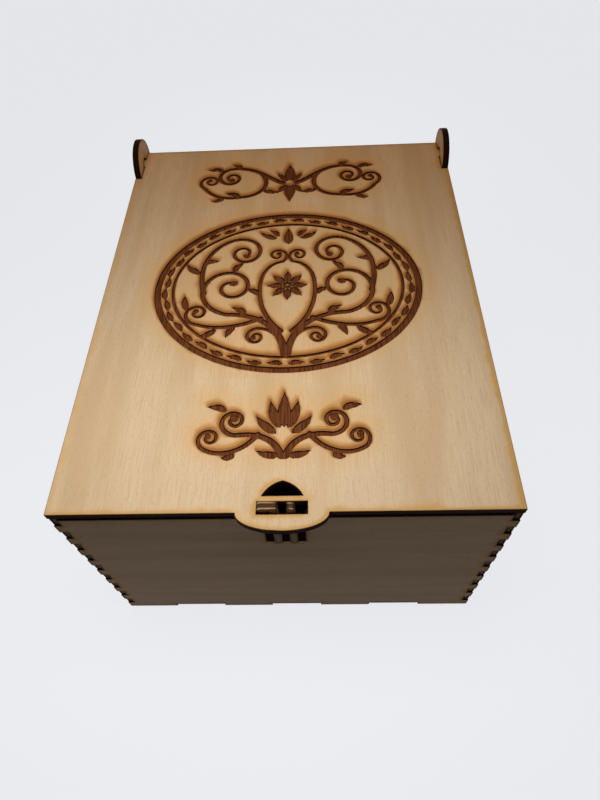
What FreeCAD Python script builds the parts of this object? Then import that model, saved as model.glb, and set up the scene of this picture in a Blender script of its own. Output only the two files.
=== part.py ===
import FreeCAD, Part
import os

# A finger-jointed plywood keepsake box. Its lid turns on two pins in round ears of the side panels, and
# a springy hook, cut free from the front panel, reaches up through a slot in the lid.
# Millimetres. The front looks towards -Y, and the box stands on z = 0 with its middle over the origin.

doc = FreeCAD.newDocument("KeepsakeBox")

DRIVING_DIMENSIONS = [
    ("sheet", 3.0, "thickness of the plywood"),
    ("box_width", 164.0, "outside, left to right"),
    ("box_depth", 218.0, "outside, front wall to back wall"),
    ("wall_height", 105.7, "side and back walls, without the lid and the ears"),
    ("front_drop", 1.2, "how much lower the front wall stands, which leaves a dark line under the lid"),
    ("corner_fingers", 18, "segments up each corner, count"),
    ("front_fingers", 7, "segments along the foot of the front and back walls, count"),
    ("side_fingers", 9, "segments along the foot of the side walls, count"),
    ("finger_short", 0.6, "how far the side walls' and the bottom's fingers stop short of the outer faces"),
    ("lid_seat_gap", 0.3, "air between the walls and the closed lid"),
    ("lid_back_gap", 0.7, "air between the back wall and the lid's back edge"),
    ("ear_radius", 13.3, "round hinge ear on each side panel"),
    ("ear_gap", 0.6, "air between the ear's rim and the lid's notch"),
    ("ear_side_gap", 0.4, "air between the ear's inner face and the lid's notch"),
    ("pin_width", 6.6, "hinge pin of the lid, front to back"),
    ("pin_clearance", 0.08, "between the pin's corners and the round hole"),
    ("tab_half_width", 16.2, "thumb tab, a half ellipse at the lid's front edge"),
    ("tab_reach", 6.6, "thumb tab, ahead of the front wall"),
    ("slot_half_width", 8.7, "latch slot in the lid, left to right"),
    ("slot_front_gap", 0.5, "latch slot, ahead of the tongues"),
    ("slot_back_gap", 1.1, "latch slot, behind the tongues"),
    ("bar_width", 2.2, "strip of lid between the slot and the finger hole"),
    ("arch_half_width", 7.1, "arched finger hole, left to right"),
    ("arch_depth", 5.6, "arched finger hole, front to back"),
    ("arch_bulge", 1.0, "how far each side of the arch swells past a straight line"),
    ("window_width", 2.9, "each of the three gaps beside the tongues"),
    ("tongue_width", 3.0, "each springy tongue"),
    ("tongue_length", 22.5, "from the root of a tongue to the top of the side walls"),
    ("root_clearance", 0.05, "round the half-round root of a tongue"),
    ("hook_lift", 0.4, "from the lid's top face to the underside of the hook"),
    ("hook_thickness", 2.2, "head of the hook, up and down"),
    ("nose_clearance", 0.2, "between the hook's nose and the end of the slot"),
    ("prong_rise", 2.1, "top of the prong above the lid"),
    ("overrun", 1.0, "how far a cutting shape passes the face it cuts"),
]

sheet = doc.addObject("Spreadsheet::Sheet", "Sizes")
for row, (alias, value, note) in enumerate(DRIVING_DIMENSIONS, start=1):
    sheet.set(f"A{row}", note)
    sheet.set(f"B{row}", str(value))
    sheet.setAlias(f"B{row}", alias)
doc.recompute()

# Places that several pieces share, as expressions of the driving dimensions.
SHEET = "Sizes.sheet"
OVERRUN = "Sizes.overrun"
THROUGH = "(Sizes.sheet + 2 * Sizes.overrun)"
LEFT = "(-Sizes.box_width / 2)"
FINGER_LEFT = f"({LEFT} + Sizes.finger_short)"
FINGER_WIDTH = "(Sizes.box_width - 2 * Sizes.finger_short)"
FINGER_DEPTH = "(Sizes.box_depth - 2 * Sizes.finger_short)"
RIGHT_INSIDE = "(Sizes.box_width / 2 - Sizes.sheet)"
BACK_INSIDE = "(Sizes.box_depth - Sizes.sheet)"
CORNER_STEP = "(Sizes.wall_height / Sizes.corner_fingers)"
FRONT_STEP = "(Sizes.box_width / Sizes.front_fingers)"
SIDE_STEP = "(Sizes.box_depth / Sizes.side_fingers)"
LID_UNDER = "(Sizes.wall_height + Sizes.lid_seat_gap)"
LID_TOP = f"({LID_UNDER} + Sizes.sheet)"
LID_DEPTH = f"({BACK_INSIDE} - Sizes.lid_back_gap)"
PIVOT_Y = "(Sizes.box_depth - Sizes.ear_radius)"
PIVOT_Z = f"({LID_UNDER} + Sizes.sheet / 2)"
HOLE_RADIUS = "(sqrt((Sizes.pin_width / 2)^2 + (Sizes.sheet / 2)^2) + Sizes.pin_clearance)"
NOTCH_WIDTH = "(Sizes.sheet + Sizes.ear_side_gap)"
SLOT_BACK = "(Sizes.sheet + Sizes.slot_back_gap)"
ARCH_FLAT = f"({SLOT_BACK} + Sizes.bar_width)"
ARCH_SIDE = "sqrt(Sizes.arch_half_width^2 + Sizes.arch_depth^2)"
ARCH_RADIUS = f"(({ARCH_SIDE}^2 / 4 + Sizes.arch_bulge^2) / (2 * Sizes.arch_bulge))"
ARCH_INSET = f"(({ARCH_RADIUS} - Sizes.arch_bulge) / {ARCH_SIDE})"
ARCH_X = f"(Sizes.arch_half_width / 2 - {ARCH_INSET} * Sizes.arch_depth)"
ARCH_Y = f"({ARCH_FLAT} + Sizes.arch_depth / 2 - {ARCH_INSET} * Sizes.arch_half_width)"
TONGUE_X = "((Sizes.window_width + Sizes.tongue_width) / 2)"
LATCH_HALF = "(1.5 * Sizes.window_width + Sizes.tongue_width)"
ROOT_Z = "(Sizes.wall_height - Sizes.tongue_length)"
HOOK_UNDER = f"({LID_TOP} + Sizes.hook_lift)"
NOSE_RADIUS = "(Sizes.hook_thickness / 2)"
NOSE_X = f"(Sizes.nose_clearance + {NOSE_RADIUS} - Sizes.slot_half_width)"
HEEL_X = "(-Sizes.window_width / 2)"
FRONT_FACE_Y = "(-(Sizes.box_depth - Sizes.tab_reach) / 2)"

ALONG_X = FreeCAD.Rotation(FreeCAD.Vector(0, 1, 0), 90)
ALONG_Y = FreeCAD.Rotation(FreeCAD.Vector(1, 0, 0), -90)


def put(shape, corner):
    """Bind the place of a shape to three expressions."""
    for axis, expression in zip("xyz", corner):
        shape.setExpression(f"Placement.Base.{axis}", expression)
    return shape


def block(name, size, corner):
    """A cuboid with its least corner at the given place."""
    shape = doc.addObject("Part::Box", name)
    for side, expression in zip(("Length", "Width", "Height"), size):
        shape.setExpression(side, expression)
    return put(shape, corner)


def rod(name, radius, length, start, turn):
    """A cylinder from the given place, turned to lie along X or Y."""
    shape = doc.addObject("Part::Cylinder", name)
    shape.Placement = FreeCAD.Placement(FreeCAD.Vector(), turn)
    shape.setExpression("Radius", radius)
    shape.setExpression("Height", length)
    return put(shape, start)


def joined(name, shapes):
    """Several shapes as one solid."""
    fused = doc.addObject("Part::MultiFuse", name)
    fused.Shapes = shapes
    fused.Refine = True
    return fused


def trimmed(name, base, cutters):
    """A shape without the cutters, which are gathered first."""
    gathered = doc.addObject("Part::Compound", f"{name}_cutters")
    gathered.Links = cutters
    cut = doc.addObject("Part::Cut", name)
    cut.Base = base
    cut.Tool = gathered
    cut.Refine = True
    return cut


def segments(count_alias, first):
    """Every second segment of a finger joint, from the first one on."""
    return range(first, int(sheet.get(count_alias)), 2)


def corner_cutters(name, size, places, first):
    """Cutters for the fingers of the neighbouring walls, at both upright ends of a wall."""
    cutters = []
    for end, (x, y) in enumerate(places):
        for step in segments("corner_fingers", first):
            corner = (x, y, f"{step} * {CORNER_STEP}")
            cutters.append(block(f"{name}_corner_{end}_{step}", (*size, CORNER_STEP), corner))
    return cutters


def front_or_back(name, y, height):
    """The wall's blank, and the cutters that its side walls and the bottom ask for."""
    blank = block(f"{name}_blank", ("Sizes.box_width", SHEET, height), (LEFT, y, "0"))
    before = f"{y} - {OVERRUN}"
    ends = [(f"{LEFT} - {OVERRUN}", before), (RIGHT_INSIDE, before)]
    cutters = corner_cutters(name, (f"{SHEET} + {OVERRUN}", THROUGH), ends, 1)
    for step in segments("front_fingers", 1):
        corner = (f"{LEFT} + {step} * {FRONT_STEP}", before, f"-{OVERRUN}")
        cutters.append(block(f"{name}_foot_{step}", (FRONT_STEP, THROUGH, f"{SHEET} + {OVERRUN}"), corner))
    return blank, cutters


def front_panel():
    """The front wall, with the opening that the two tongues stand in and a round seat for each root."""
    blank, cutters = front_or_back("front", "0", "Sizes.wall_height - Sizes.front_drop")
    opening_height = f"Sizes.tongue_length + {OVERRUN}"
    corner = (f"-{LATCH_HALF}", f"-{OVERRUN}", ROOT_Z)
    cutters.append(block("latch_opening", (f"2 * {LATCH_HALF}", THROUGH, opening_height), corner))
    for side, x in (("left", f"-{TONGUE_X}"), ("right", TONGUE_X)):
        radius = "Sizes.tongue_width / 2 + Sizes.root_clearance"
        cutters.append(rod(f"root_seat_{side}", radius, THROUGH, (x, f"-{OVERRUN}", ROOT_Z), ALONG_Y))
    return trimmed("front_panel", blank, cutters)


def back_panel():
    """The back wall, a plain finger-jointed sheet."""
    blank, cutters = front_or_back("back", BACK_INSIDE, "Sizes.wall_height")
    return trimmed("back_panel", blank, cutters)


def side_panel(name, x):
    """A side wall with the round hinge ear standing on its back top corner."""
    blank = block(f"{name}_blank", (SHEET, FINGER_DEPTH, "Sizes.wall_height"), (x, "Sizes.finger_short", "0"))
    ear = rod(f"{name}_ear", "Sizes.ear_radius", SHEET, (x, PIVOT_Y, PIVOT_Z), ALONG_X)
    before = f"{x} - {OVERRUN}"
    ends = [(before, f"-{OVERRUN}"), (before, BACK_INSIDE)]
    cutters = corner_cutters(name, (THROUGH, f"{SHEET} + {OVERRUN}"), ends, 0)
    for step in segments("side_fingers", 1):
        corner = (before, f"{step} * {SIDE_STEP}", f"-{OVERRUN}")
        cutters.append(block(f"{name}_foot_{step}", (THROUGH, SIDE_STEP, f"{SHEET} + {OVERRUN}"), corner))
    cutters.append(rod(f"{name}_hole", HOLE_RADIUS, THROUGH, (before, PIVOT_Y, PIVOT_Z), ALONG_X))
    return trimmed(f"{name}_panel", joined(f"{name}_sheet", [blank, ear]), cutters)


def bottom_panel():
    """The floor of the box, notched where the feet of the walls come through."""
    corner = (FINGER_LEFT, "Sizes.finger_short", "0")
    blank = block("bottom_blank", (FINGER_WIDTH, FINGER_DEPTH, SHEET), corner)
    below = f"-{OVERRUN}"
    reach = f"{SHEET} + {OVERRUN}"
    cutters = []
    for step in segments("front_fingers", 0):
        for end, y in (("front", f"-{OVERRUN}"), ("back", BACK_INSIDE)):
            corner = (f"{LEFT} + {step} * {FRONT_STEP}", y, below)
            cutters.append(block(f"bottom_{end}_{step}", (FRONT_STEP, reach, THROUGH), corner))
    for step in segments("side_fingers", 0):
        for end, x in (("left", f"{LEFT} - {OVERRUN}"), ("right", RIGHT_INSIDE)):
            corner = (x, f"{step} * {SIDE_STEP}", below)
            cutters.append(block(f"bottom_{end}_{step}", (reach, SIDE_STEP, THROUGH), corner))
    return trimmed("bottom_panel", blank, cutters)


def thumb_tab():
    """The tab's whole ellipse, as thick as the sheet. Its back half lies in the lid."""
    outline = doc.addObject("Part::Ellipse", "tab_outline")
    outline.setExpression("MajorRadius", "Sizes.tab_half_width")
    outline.setExpression("MinorRadius", "Sizes.tab_reach")
    put(outline, ("0", "0", LID_UNDER))
    tab = doc.addObject("Part::Extrusion", "tab")
    tab.Base = outline
    tab.DirMode = "Custom"
    tab.Dir = FreeCAD.Vector(0, 0, 1)
    tab.setExpression("LengthFwd", SHEET)
    tab.Solid = True
    return tab


def finger_arch():
    """The finger hole behind the slot: two round sides that meet in a blunt point, cut off by the bar."""
    below = f"{LID_UNDER} - {OVERRUN}"
    shapes = []
    for side, x in (("left", f"-{ARCH_X}"), ("right", ARCH_X)):
        disc = doc.addObject("Part::Cylinder", f"{side}_arch_disc")
        disc.setExpression("Radius", ARCH_RADIUS)
        disc.setExpression("Height", THROUGH)
        shapes.append(put(disc, (x, ARCH_Y, below)))
    half_width = f"(Sizes.arch_half_width + {OVERRUN})"
    size = (f"2 * {half_width}", f"Sizes.arch_depth + {OVERRUN}", THROUGH)
    shapes.append(block("behind_bar", size, (f"-{half_width}", ARCH_FLAT, below)))
    arch = doc.addObject("Part::MultiCommon", "finger_arch")
    arch.Shapes = shapes
    return arch


def lid_panel():
    """The lid: one sheet with its tab, slot, finger hole, ear notches and hinge pins."""
    blank = block("lid_blank", ("Sizes.box_width", LID_DEPTH, SHEET), (LEFT, "0", LID_UNDER))
    below = f"{LID_UNDER} - {OVERRUN}"
    slot_size = ("2 * Sizes.slot_half_width", f"Sizes.slot_front_gap + {SLOT_BACK}", THROUGH)
    slot = block("latch_slot", slot_size, ("-Sizes.slot_half_width", "-Sizes.slot_front_gap", below))
    notch_front = f"({PIVOT_Y} - Sizes.ear_radius - Sizes.ear_gap)"
    notch_size = (f"{NOTCH_WIDTH} + {OVERRUN}", f"{LID_DEPTH} - {notch_front} + {OVERRUN}", THROUGH)
    left_notch = block("left_notch", notch_size, (f"{LEFT} - {OVERRUN}", notch_front, below))
    right_notch = block("right_notch", notch_size, (f"-{LEFT} - {NOTCH_WIDTH}", notch_front, below))
    tabbed = joined("tabbed_sheet", [blank, thumb_tab()])
    cut_sheet = trimmed("cut_sheet", tabbed, [slot, finger_arch(), left_notch, right_notch])
    pins = block("pins", ("Sizes.box_width", "Sizes.pin_width", SHEET),
                 (LEFT, f"{PIVOT_Y} - Sizes.pin_width / 2", LID_UNDER))
    return joined("lid_panel", [cut_sheet, pins])


def tongue(name, x, top):
    """A springy tongue: a straight strip of the sheet on a half-round root."""
    root = rod(f"{name}_root", "Sizes.tongue_width / 2", SHEET, (x, "0", ROOT_Z), ALONG_Y)
    size = ("Sizes.tongue_width", SHEET, f"{top} - {ROOT_Z}")
    strip = block(f"{name}_strip", size, (f"{x} - Sizes.tongue_width / 2", "0", ROOT_Z))
    return [root, strip]


def latch_hook():
    """The left tongue, whose head reaches to the end of the slot with a round nose."""
    pieces = tongue("hook", f"-{TONGUE_X}", HOOK_UNDER)
    head_size = (f"{HEEL_X} - {NOSE_X}", SHEET, "Sizes.hook_thickness")
    pieces.append(block("hook_head", head_size, (NOSE_X, "0", HOOK_UNDER)))
    nose_start = (NOSE_X, "0", f"{HOOK_UNDER} + {NOSE_RADIUS}")
    pieces.append(rod("hook_nose", NOSE_RADIUS, SHEET, nose_start, ALONG_Y))
    return joined("latch_hook", pieces)


def latch_prong():
    """The right tongue, a plain strip that stands up through the slot."""
    return joined("latch_prong", tongue("prong", TONGUE_X, f"({LID_TOP} + Sizes.prong_rise)"))


sub_parts = [
    front_panel(),
    back_panel(),
    side_panel("left", LEFT),
    side_panel("right", RIGHT_INSIDE),
    bottom_panel(),
    lid_panel(),
    latch_hook(),
    latch_prong(),
]
for sub_part in sub_parts:
    sub_part.Label = sub_part.Name
    put(sub_part, ("0", FRONT_FACE_Y, "0"))
doc.recompute()

for item in doc.Objects:
    if "Invalid" in item.State or "Error" in item.State:
        raise RuntimeError(f"{item.Name} could not be built: {item.State}")
for sub_part in sub_parts:
    if sub_part.Shape.isNull() or not sub_part.Shape.isValid() or len(sub_part.Shape.Solids) != 1:
        raise RuntimeError(f"{sub_part.Label} is not one good solid")

os.makedirs("parts", exist_ok=True)
for sub_part in sub_parts:
    sub_part.Shape.exportStep(f"parts/{sub_part.Label}.step")
    box = sub_part.Shape.BoundBox
    print(f"{sub_part.Label}: volume {sub_part.Shape.Volume:.1f}, x {box.XMin:.2f} to {box.XMax:.2f},"
          f" y {box.YMin:.2f} to {box.YMax:.2f}, z {box.ZMin:.2f} to {box.ZMax:.2f}")
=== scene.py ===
"""The looks of a laser-cut plywood keepsake box with an engraved, hinged lid."""

import math

import bpy
import numpy as np
from bpy.props import FloatProperty, FloatVectorProperty, PointerProperty
from mathutils import Matrix, Vector
from mathutils.geometry import delaunay_2d_cdt


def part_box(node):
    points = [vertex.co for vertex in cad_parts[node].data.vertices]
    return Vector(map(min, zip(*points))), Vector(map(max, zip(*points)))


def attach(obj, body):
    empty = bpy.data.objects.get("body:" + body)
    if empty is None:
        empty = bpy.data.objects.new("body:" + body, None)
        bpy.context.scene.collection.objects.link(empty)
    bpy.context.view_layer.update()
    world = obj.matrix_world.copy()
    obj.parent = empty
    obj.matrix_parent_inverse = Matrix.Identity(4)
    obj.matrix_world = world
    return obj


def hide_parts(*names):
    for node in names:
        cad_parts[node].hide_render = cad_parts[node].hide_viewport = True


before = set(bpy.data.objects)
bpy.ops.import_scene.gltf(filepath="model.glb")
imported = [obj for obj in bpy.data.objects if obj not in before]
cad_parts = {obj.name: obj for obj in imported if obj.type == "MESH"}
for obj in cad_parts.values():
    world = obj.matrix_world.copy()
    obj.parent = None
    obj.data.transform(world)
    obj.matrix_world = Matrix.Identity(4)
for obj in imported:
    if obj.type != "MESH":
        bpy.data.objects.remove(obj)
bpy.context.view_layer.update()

bl_info = {
    "name": "Plywood Keepsake Box",
    "version": (1, 0, 0),
    "blender": (4, 5, 0),
    "location": "View3D > Sidebar > Keepsake Box",
    "description": "Dresses the sheets of a laser-cut plywood box with grain, scorched edges and engraving",
    "category": "Add Mesh",
}

MM = 0.001
X, Y, Z = 0, 1, 2

# The two axes that span a sheet, in the order that turns anticlockwise about the axis through it.
PLANE_AXES = {X: (Y, Z), Y: (Z, X), Z: (X, Y)}

# Each sheet of the box: CAD node, body, the axis through its thickness and the axis of its face grain.
WALL_SHEETS = (
    ("front_panel", "carcass", Y, X),
    ("back_panel", "carcass", Y, X),
    ("left_panel", "carcass", X, Y),
    ("right_panel", "carcass", X, Y),
    ("bottom_panel", "carcass", Z, Y),
)
LID_SHEET = ("lid_panel", "lid", Z, Y)
LATCH_SHEETS = (
    ("latch_hook", "hook", Y, X),
    ("latch_prong", "prong", Y, X),
)

# How the cut edge steps in, as (share of the thickness, share of the glue line's recess): veneer, glue, core.
EDGE_PROFILE = ((0.23, 0.0), (0.27, 1.0), (0.32, 0.25), (0.68, 0.25), (0.73, 1.0), (0.77, 0.0))

# Rows of points beside a cut, so that the scorch follows it also where the wood is narrow.
RIM_ROWS = (0.5 * MM, 1.0 * MM, 2.4 * MM)

# Distance given to points that no engraved line is near.
FAR = 1.0

# What the engraving leaves on the wood: the line itself, then ever thinner smoke. Each trail is (attribute,
# share of the smoke's drift, share of the haze's reach that its distance is worked out to, stride on a line).
TRAILS = (("burn", 0.0, 0.1, 1), ("scald", 0.4, 0.2, 1), ("smoke", 1.0, 0.4, 1), ("haze", 1.8, 1.0, 4))

# How near an edge has to lie to an outer face of the box to count as the end of a finger.
FINGER_END = 0.9 * MM

# How much further apart the points along engraved lines are than the steps that draw their shape.
ROW_STRIDE = 2

# A point of a row beside a cut is dropped if another stretch is nearer than this share of the row's distance.
ROW_SLACK = 0.95

# Points of these rows that lie closer together than this are merged.
ROW_MERGE = 0.1 * MM

# Share of a grid's step that the grid keeps clear of the rows beside a cut.
GRID_GAP = 0.3

# Headings, in degrees from straight ahead, of the points that go round the end of an engraved line.
TIP_TURNS = (-60, -30, 0, 30, 60)

# Shares of the engraving's wall: how far a point of its rows may be out of place, and the points' least gap.
WALL_SLACK = 0.25
WALL_MERGE = 0.4

# An outline that turns more than this at a point has a corner there.
CORNER_TURN = math.radians(40)

# Most pairs of points and edges whose distances are worked out at once.
MOST_PAIRS = 4_000_000

# Where the colours of an engraved line's wall and floor start and are full, from its border, negative inside.
WALL_BAND = (0.14 * MM, 0.03 * MM)
FLOOR_BAND = (-0.1 * MM, -0.22 * MM)

# Where the soot and painted shade in the corners of a cut edge start and are full, from the corner.
CORNER_SOOT_AND_SHADE_BAND = (0.8 * MM, 0.2 * MM)

# The order of a sheet's finishes: its two faces, its cut edge and the ends of its fingers.
FACE, EDGE, END = 0, 1, 2

# The sockets of a Mix node in its colour mode, whose names occur more than once.
MIX_UNDER, MIX_OVER, MIX_RESULT = 6, 7, 2

# Lines of the floor's grid each way, the camera's sensor in millimetres, and where its view starts in metres.
FLOOR_LINES = 9
SENSOR_WIDTH = 36.0
NEAREST_SEEN = 0.01

WHITE = (1.0, 1.0, 1.0)


def linear(code):
    """Turns an sRGB hex colour such as #DCC09A into linear red, green and blue."""
    shares = [int(code[k:k + 2], 16) / 255 for k in (1, 3, 5)]
    return tuple(c / 12.92 if c <= 0.04045 else ((c + 0.055) / 1.055) ** 2.4 for c in shares)


def length(name, description, default):
    """A size property in metres."""
    return FloatProperty(name=name, description=description, default=default, min=0.0, precision=5,
                         unit="LENGTH")


def share(name, description, default):
    """A property between 0 and 1."""
    return FloatProperty(name=name, description=description, default=default, min=0.0, max=1.0,
                         subtype="FACTOR")


def degrees(name, description, default):
    """An angle property, from degrees."""
    return FloatProperty(name=name, description=description, default=math.radians(default), subtype="ANGLE")


def watts(name, description, default):
    """The power of a lamp."""
    return FloatProperty(name=name, description=description, default=default, subtype="POWER")


def point(name, description, default):
    """A place property in metres."""
    return FloatVectorProperty(name=name, description=description, default=default, subtype="XYZ",
                               unit="LENGTH")


def colour(name, description, code):
    """A colour property, from an sRGB hex value."""
    return FloatVectorProperty(name=name, description=description, default=linear(code), size=3,
                               min=0.0, max=1.0, subtype="COLOR")


class SheetSettings(bpy.types.PropertyGroup):
    """How finely the sheets are drawn, and what the laser leaves along their edges."""

    kerf: length("Kerf", "How far the laser's beam cuts back each outline", 0.08 * MM)
    glue_recess: length("Glue recess", "How deep the glue lines are burnt back into the edge", 0.06 * MM)
    rim_step: length("Rim step", "Longest piece of an outline", 1.6 * MM)
    face_step: length("Face step", "Spacing of the points on a plain face", 4.0 * MM)
    drift_left: length("Drift left", "How far the smoke of the lid's cuts drifts to the left", 1.0 * MM)
    grain_reach: FloatProperty(name="Grain reach", description="How much further scorch runs along the grain",
                               default=1.6, min=1.0)
    sharp_angle: degrees("Sharp angle", "Edges that turn more than this stay crisp", 35)


class EngravingSettings(bpy.types.PropertyGroup):
    """The ornament burnt into the lid."""

    depth: length("Depth", "How deep the laser engraves", 0.65 * MM)
    wall: length("Wall", "Run of the engraving's steep wall", 0.2 * MM)
    near_step: length("Near step", "Spacing of the points close to engraved lines", 0.55 * MM)
    near_band: length("Near band", "How far from a line the close points reach", 0.9 * MM)
    halo_step: length("Halo step", "Spacing of the points in the scorched halo", 1.2 * MM)
    halo_band: length("Halo band", "How far from a line the halo's points reach", 4.5 * MM)
    weight: FloatProperty(name="Weight", description="Width of the lines as a share of the drawn one",
                          default=1.2)
    drift_left: length("Drift left", "How far the air jet blows the smoke to the left", 0.7 * MM)
    drift_back: length("Drift back", "How far the air jet blows the smoke towards the hinge", 1.6 * MM)
    haze_reach: length("Haze reach", "How far from a line the thinnest smoke is worked out", 13.0 * MM)
    medallion_y: length("Medallion", "Middle of the oval medallion, from the lid's front edge", 108.4 * MM)
    upper_y: length("Upper flourish", "Middle of the flourish near the hinge, from that edge", 183.1 * MM)
    lower_y: length("Lower flourish", "Middle of the flourish near the latch, from that edge", 35.4 * MM)


class FinishSettings(bpy.types.PropertyGroup):
    """Colours and pattern sizes of the plywood."""

    face_light: colour("Veneer, light", "Early wood of the birch veneer", "#E8CBA4")
    face_dark: colour("Veneer, dark", "Late wood and broad figure of the veneer", "#D6B48A")
    fleck: colour("Fleck", "Pores and short rays", "#BE9A70")
    amber: colour("Scorch", "Wood toasted by the laser beside a cut", "#D2A055")
    hazed: colour("Haze", "Wood in the thin smoke round cuts and engraved lines", "#E2AE66")
    smoked: colour("Smoke", "Wood stained by the smoke of the engraving", "#C98A42")
    scalded: colour("Scald", "Wood browned right beside an engraved line", "#844517")
    # Char is the soot line along a cut; on the walls and the latch, where it is wide, it is also painted
    # shade.
    char: colour("Char", "Line of soot along a cut", "#3A1E0C")
    engraved_light: colour("Engraving, light", "Harder fibres at the bottom of the engraving", "#784424")
    engraved_dark: colour("Engraving, dark", "Softer fibres at the bottom of the engraving", "#52270E")
    engraved_wall: colour("Engraving wall", "Burnt walls of the engraved lines", "#260F05")
    # Soot also darkens the corners of the cut edges, where it stands for painted shade between the fingers as
    # well.
    soot: colour("Soot", "Burnt glue between the plies, and char in the corners", "#0E0704")
    edge_veneer: colour("Edge veneer", "Charred veneers on a cut edge", "#261205")
    edge_core: colour("Edge core", "Charred core on a cut edge", "#2C1707")
    end_veneer: colour("End veneer", "Sooty veneers on the ends of the fingers", "#5A3C26")
    end_core: colour("End core", "Core on the ends of the fingers, wiped clean", "#BC9C7C")
    tip_veneer: colour("Tip veneer", "Worn, pale veneers on the latch's edges", "#B89470")
    tip_core: colour("Tip core", "Sooty core on the latch's edges", "#5C3A28")
    fibre_width: length("Fibre width", "Width of a streak of fibres", 0.5 * MM)
    fibre_length: length("Fibre length", "Length of a streak of fibres", 13.0 * MM)
    figure_width: length("Figure width", "Width of the veneer's broad bands", 13.0 * MM)
    figure_length: length("Figure length", "Length of the veneer's broad bands", 170.0 * MM)
    fleck_width: length("Fleck width", "Width of a fleck", 0.35 * MM)
    fleck_length: length("Fleck length", "Length of a fleck", 1.8 * MM)
    blotch: length("Blotch", "Size of the uneven patches in the scorch", 7.0 * MM)
    lid_scorch: length("Lid scorch", "How far the toasted colour reaches from a cut on the lid", 1.5 * MM)
    wall_scorch: length("Wall scorch", "How far the toasted colour reaches from a cut on the walls", 2.8 * MM)
    lid_char: length("Lid char", "How far the soot line reaches from a cut on the lid", 0.3 * MM)
    # On the walls this dark border is soot, and also painted shade under the lid and beside the fingers.
    wall_char_and_shade: length("Wall char", "How far the soot line reaches from a cut on the walls", 1.1 * MM)
    # On the latch this dark border is soot, and also painted shade from the slot in the lid.
    latch_char_and_shade: length("Latch char", "How far the soot line reaches from a cut on the latch", 3.0 * MM)
    cut_haze: length("Cut haze", "How far the faint colour reaches from a cut", 4.0 * MM)
    scald_width: length("Scald width", "How far the brown colour reaches from an engraved line", 1.3 * MM)
    halo_width: length("Halo width", "How far the strong colour reaches from an engraved line", 2.1 * MM)
    haze_width: length("Haze width", "How far the faint colour reaches from an engraved line", 11.0 * MM)
    face_roughness: share("Veneer roughness", "Roughness of the sanded face", 0.62)
    edge_roughness: share("Edge roughness", "Roughness of the charred edges", 0.85)
    shine: share("Veneer shine", "Specular level of the sanded face, whose bare fibres scatter light", 0.1)
    edge_shine: share("Edge shine", "Specular level of the charred edges", 0.05)


class StageSettings(bpy.types.PropertyGroup):
    """Floor, lights and camera."""

    floor_size: length("Floor", "Side of the square floor", 6.0)
    backdrop: colour("Backdrop", "Pale floor and surroundings as the camera sees them", "#E7E9ED")
    floor_glow: FloatProperty(name="Floor glow", description="Strength of the floor's own paleness",
                              default=1.2)
    floor_bounce: colour("Floor bounce", "Floor as the light that bounces off it sees it", "#9A8E97")
    floor_lit: share("Floor lit", "Share of the floor's colour that takes light and shadow", 0.2)
    ambient: FloatProperty(name="Ambient", description="Strength of the surroundings' light", default=0.035)
    key_power: watts("Key power", "Soft lamp over the front of the lid", 0.184)
    key_place: point("Key place", "Middle of the soft lamp", (-0.025, -0.08, 0.309))
    key_width: length("Key width", "Soft lamp, left to right", 0.24)
    key_depth: length("Key depth", "Soft lamp, front to back", 0.10)
    key_spread: degrees("Key spread", "Angle that the grid over the soft lamp lets out", 110)
    rear_power: watts("Rear power", "Warm lamp over the back of the lid", 0.035)
    rear_tint: colour("Rear tint", "Warm light of the rear lamp", "#FFCF97")
    rear_place: point("Rear place", "Middle of the warm lamp", (0.0, 0.10, 0.27))
    open_power: watts("Open power", "Lamp over the place where the open lid lies", 0.025)
    open_place: point("Open place", "Middle of the lamp over the open lid", (0.0, 0.29, 0.40))
    open_depth: length("Open depth", "Lamp over the open lid, front to back", 0.06)
    open_spread: degrees("Open spread", "Angle that the grid over that lamp lets out", 50)
    fill_power: watts("Fill power", "Each low lamp beside and behind the box", 0.27)
    fill_distance: length("Fill distance", "Distance of the fill lamps from the middle of the box", 0.9)
    fill_height: length("Fill height", "Middle of the fill lamps, lower than the lid", 0.016)
    fill_aim: length("Fill aim", "Height over the box that the fill lamps point to, clear of the floor", 0.34)
    fill_width: length("Fill width", "Fill lamps, along the floor", 0.5)
    fill_depth: length("Fill depth", "Fill lamps, upright", 0.03)
    fill_spread: degrees("Fill spread", "Angle that the grid over a fill lamp lets out", 50)
    camera_place: point("Camera place", "Where the camera stands", (0.01443, -0.18762, 0.29266))
    camera_down: degrees("Camera down", "How far the camera looks down", 55.05)
    camera_turn: degrees("Camera turn", "How far the camera turns to the left", 3.81)
    camera_roll: degrees("Camera roll", "How far the camera leans", -4.27)
    camera_lens: FloatProperty(name="Lens", description="Focal length in millimetres on a 36 mm sensor",
                               default=26.388)


class BoxSettings(bpy.types.PropertyGroup):
    """Everything that can be set on the box and its stage."""

    sheet: PointerProperty(type=SheetSettings)
    engraving: PointerProperty(type=EngravingSettings)
    finish: PointerProperty(type=FinishSettings)
    stage: PointerProperty(type=StageSettings)


# Engraved ornament: strokes are arrays of rows (x, y, half width) in millimetres about the ornament's middle.

# Millimetres between the samples of a stroke, and the fewest samples that it gets.
STROKE_STEP = 0.22
LEAST_SAMPLES = 12

# How fast a scroll shrinks, the share of its width that it loses, and its bulb's half width as a share of it.
VOLUTE_DECAY = 1.05
VOLUTE_TAPER = 0.35
BULB_SHARE = 0.85

# Half width of a leaf at its ends in millimetres, and the powers that shape its swell.
LEAF_TIP = 0.06
LEAF_LEAN = 0.75
LEAF_SWELL = 1.2


def stroke_samples(reach):
    """Even parameters from 0 to 1 along a stroke of about this length."""
    return np.linspace(0.0, 1.0, max(LEAST_SAMPLES, int(reach / STROKE_STEP)))


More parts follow.
